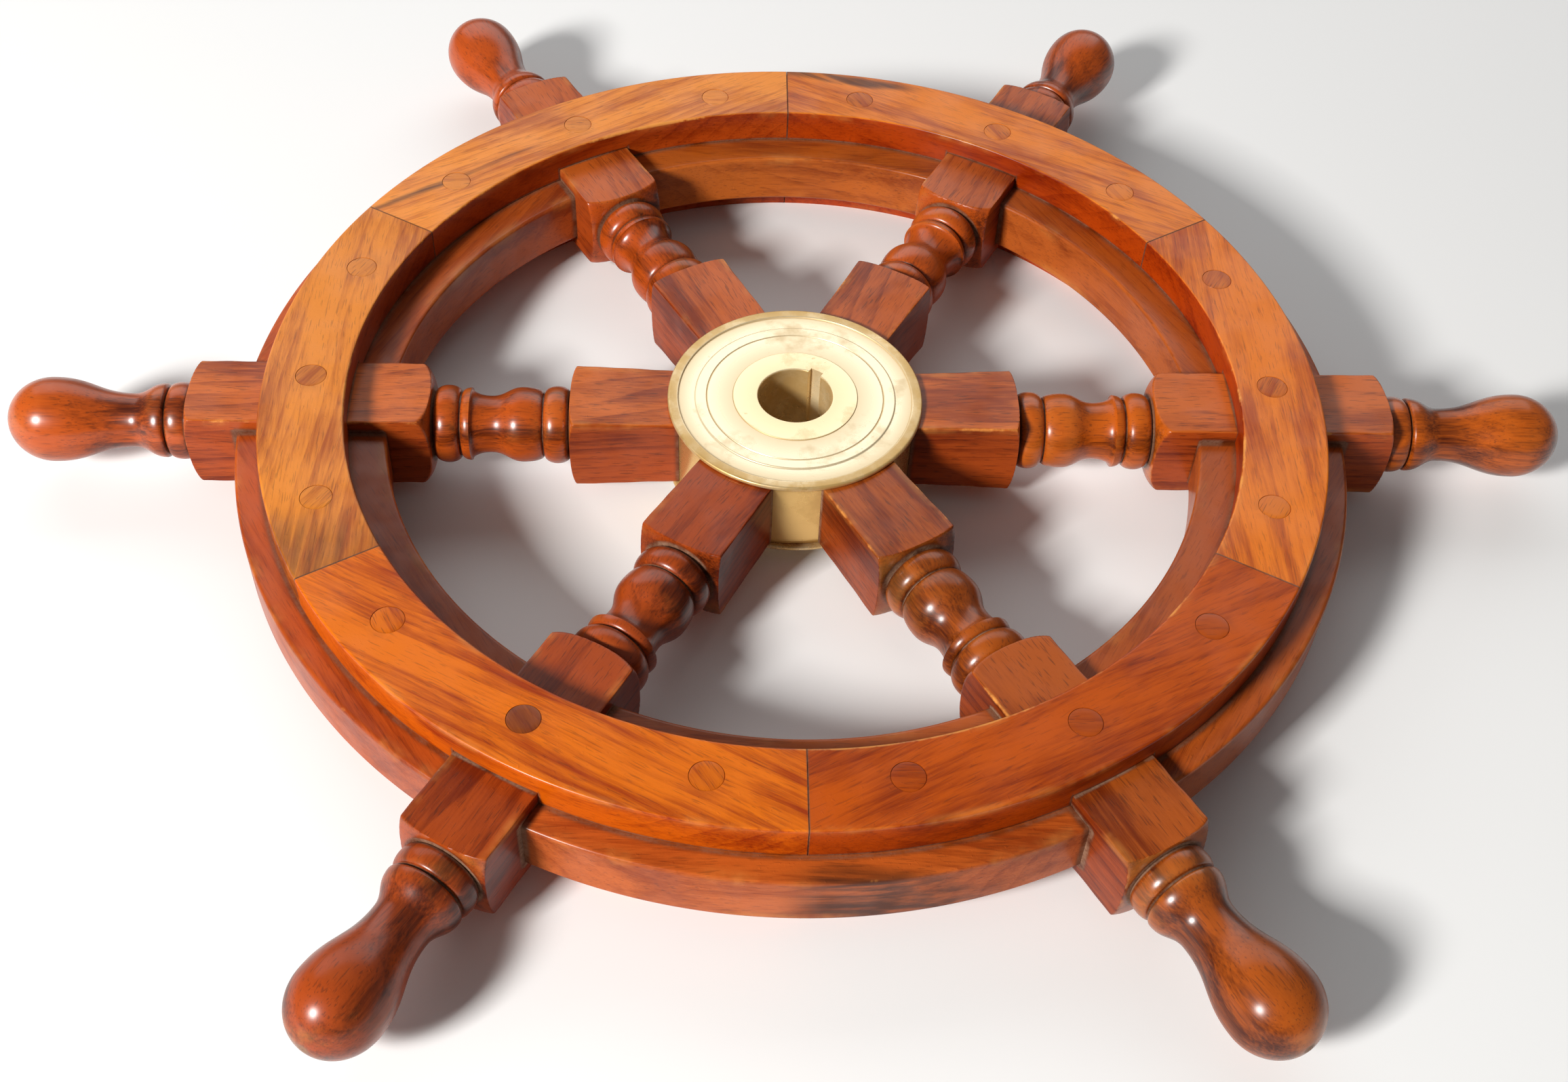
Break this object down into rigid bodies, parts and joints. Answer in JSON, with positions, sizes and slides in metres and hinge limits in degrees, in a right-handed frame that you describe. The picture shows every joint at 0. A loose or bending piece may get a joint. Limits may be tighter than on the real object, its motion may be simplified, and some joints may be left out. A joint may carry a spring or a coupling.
{
  "type": "ship's steering wheel",
  "caption": "Wooden ship's steering wheel: turned spokes that run out into handles, a three-layer rim with plugged screws, and a brass hub with a keyed bore.",
  "frame": {"origin": "centre of the wheel, on the bore's axis, halfway through the rim and the spokes", "axes": "+Z along the bore towards the front face; +X along spoke_1"},
  "size_m": [0.61, 0.5324, 0.0506],
  "materials": {
    "spoke_wood": "gloss varnish",
    "facing_wood": "satin varnish",
    "felloe_wood": "gloss varnish",
    "plug_wood": "satin varnish",
    "nave_wood": "bare",
    "screw_brass": "turned",
    "drum_brass": "polished",
    "plate_brass": "satin turned",
    "bush_brass": "satin turned"
  },
  "bodies": {
    "root": {"spoke_1": "spoke_wood", "spoke_2": "spoke_wood", "spoke_3": "spoke_wood", "spoke_4": "spoke_wood", "spoke_5": "spoke_wood", "spoke_6": "spoke_wood", "front_facing_1": "facing_wood", "front_facing_2": "facing_wood", "front_facing_3": "facing_wood", "front_facing_4": "facing_wood", "front_facing_5": "facing_wood", "front_facing_6": "facing_wood", "felloe_1": "felloe_wood", "felloe_2": "felloe_wood", "felloe_3": "felloe_wood", "felloe_4": "felloe_wood", "felloe_5": "felloe_wood", "felloe_6": "felloe_wood", "back_facing_1": "facing_wood", "back_facing_2": "facing_wood", "back_facing_3": "facing_wood", "back_facing_4": "facing_wood", "back_facing_5": "facing_wood", "back_facing_6": "facing_wood", "front_plugs": "plug_wood", "back_plugs": "plug_wood", "front_screws": "screw_brass", "back_screws": "screw_brass", "nave": "nave_wood", "hub_band": "drum_brass", "hub_front_plate": "plate_brass", "hub_back_plate": "plate_brass", "hub_bush": "bush_brass"}
  },
  "joints": []
}
